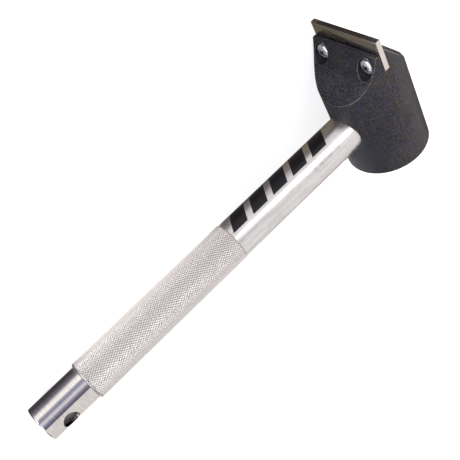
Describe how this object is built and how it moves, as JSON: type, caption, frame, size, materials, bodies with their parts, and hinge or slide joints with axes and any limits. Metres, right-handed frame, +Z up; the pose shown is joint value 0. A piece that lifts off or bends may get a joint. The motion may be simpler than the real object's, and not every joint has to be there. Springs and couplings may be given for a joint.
{
  "type": "algae scraper",
  "caption": "Hand scraper for tank and pond walls: a chisel-shaped round head clamps a straight blade, on a knurled tube handle with a hollow spigot for an extension pole.",
  "frame": {"origin": "bottom centre of the bounding box, with the tool lying on its side on the blade's end and the spigot's rim", "axes": "+X along the handle from the head to the pole spigot, sloping down by 3.4 degrees; -Y from the head's foot to the blade's edge; +Z up, along the blade"},
  "size_m": [0.3104, 0.0964, 0.0567],
  "materials": {
    "black_plastic": "matte, turned from bar",
    "stainless_steel": "fine ground",
    "polished_steel": "polished",
    "aluminium": "satin, knurled on the grip",
    "brass": "machined"
  },
  "bodies": {
    "handle_and_head": {"head_body": "black_plastic", "threaded_insert_left": "brass", "threaded_insert_right": "brass", "handle_tube": "aluminium", "pole_spigot": "polished_steel", "tube_plug": "aluminium", "head_bolt": "stainless_steel", "bolt_washer": "stainless_steel"},
    "blade": {"scraper_blade": "stainless_steel"},
    "washer_left": {"clamp_washer_left": "stainless_steel"},
    "washer_right": {"clamp_washer_right": "stainless_steel"},
    "screw_left": {"clamp_screw_left": "stainless_steel"},
    "screw_right": {"clamp_screw_right": "stainless_steel"}
  },
  "joints": [
    {"name": "blade_slide", "type": "slide", "parent": "handle_and_head", "child": "blade", "axis": [0, -1, 0], "range_m": [0, 0.0116]},
    {"name": "washer_slide_left", "type": "slide", "parent": "handle_and_head", "child": "washer_left", "axis": [0.9983, 0, -0.0587], "range_m": [0, 0.003]},
    {"name": "washer_slide_right", "type": "slide", "parent": "handle_and_head", "child": "washer_right", "axis": [0.9983, 0, -0.0587], "range_m": [0, 0.003]},
    {"name": "screw_turn_left", "type": "hinge", "parent": "washer_left", "child": "screw_left", "pos_m": [-0.12833, -0.0312, 0.00918], "axis": [0.9983, 0, -0.0587], "range_deg": [0, 1351]},
    {"name": "screw_turn_right", "type": "hinge", "parent": "washer_right", "child": "screw_right", "pos_m": [-0.12607, -0.0312, 0.04752], "axis": [0.9983, 0, -0.0587], "range_deg": [0, 1351]}
  ],
  "couplings": [
    {"joint": "screw_turn_left", "follows": "washer_slide_left", "rad_per_m": 7854},
    {"joint": "screw_turn_right", "follows": "washer_slide_right", "rad_per_m": 7854}
  ]
}
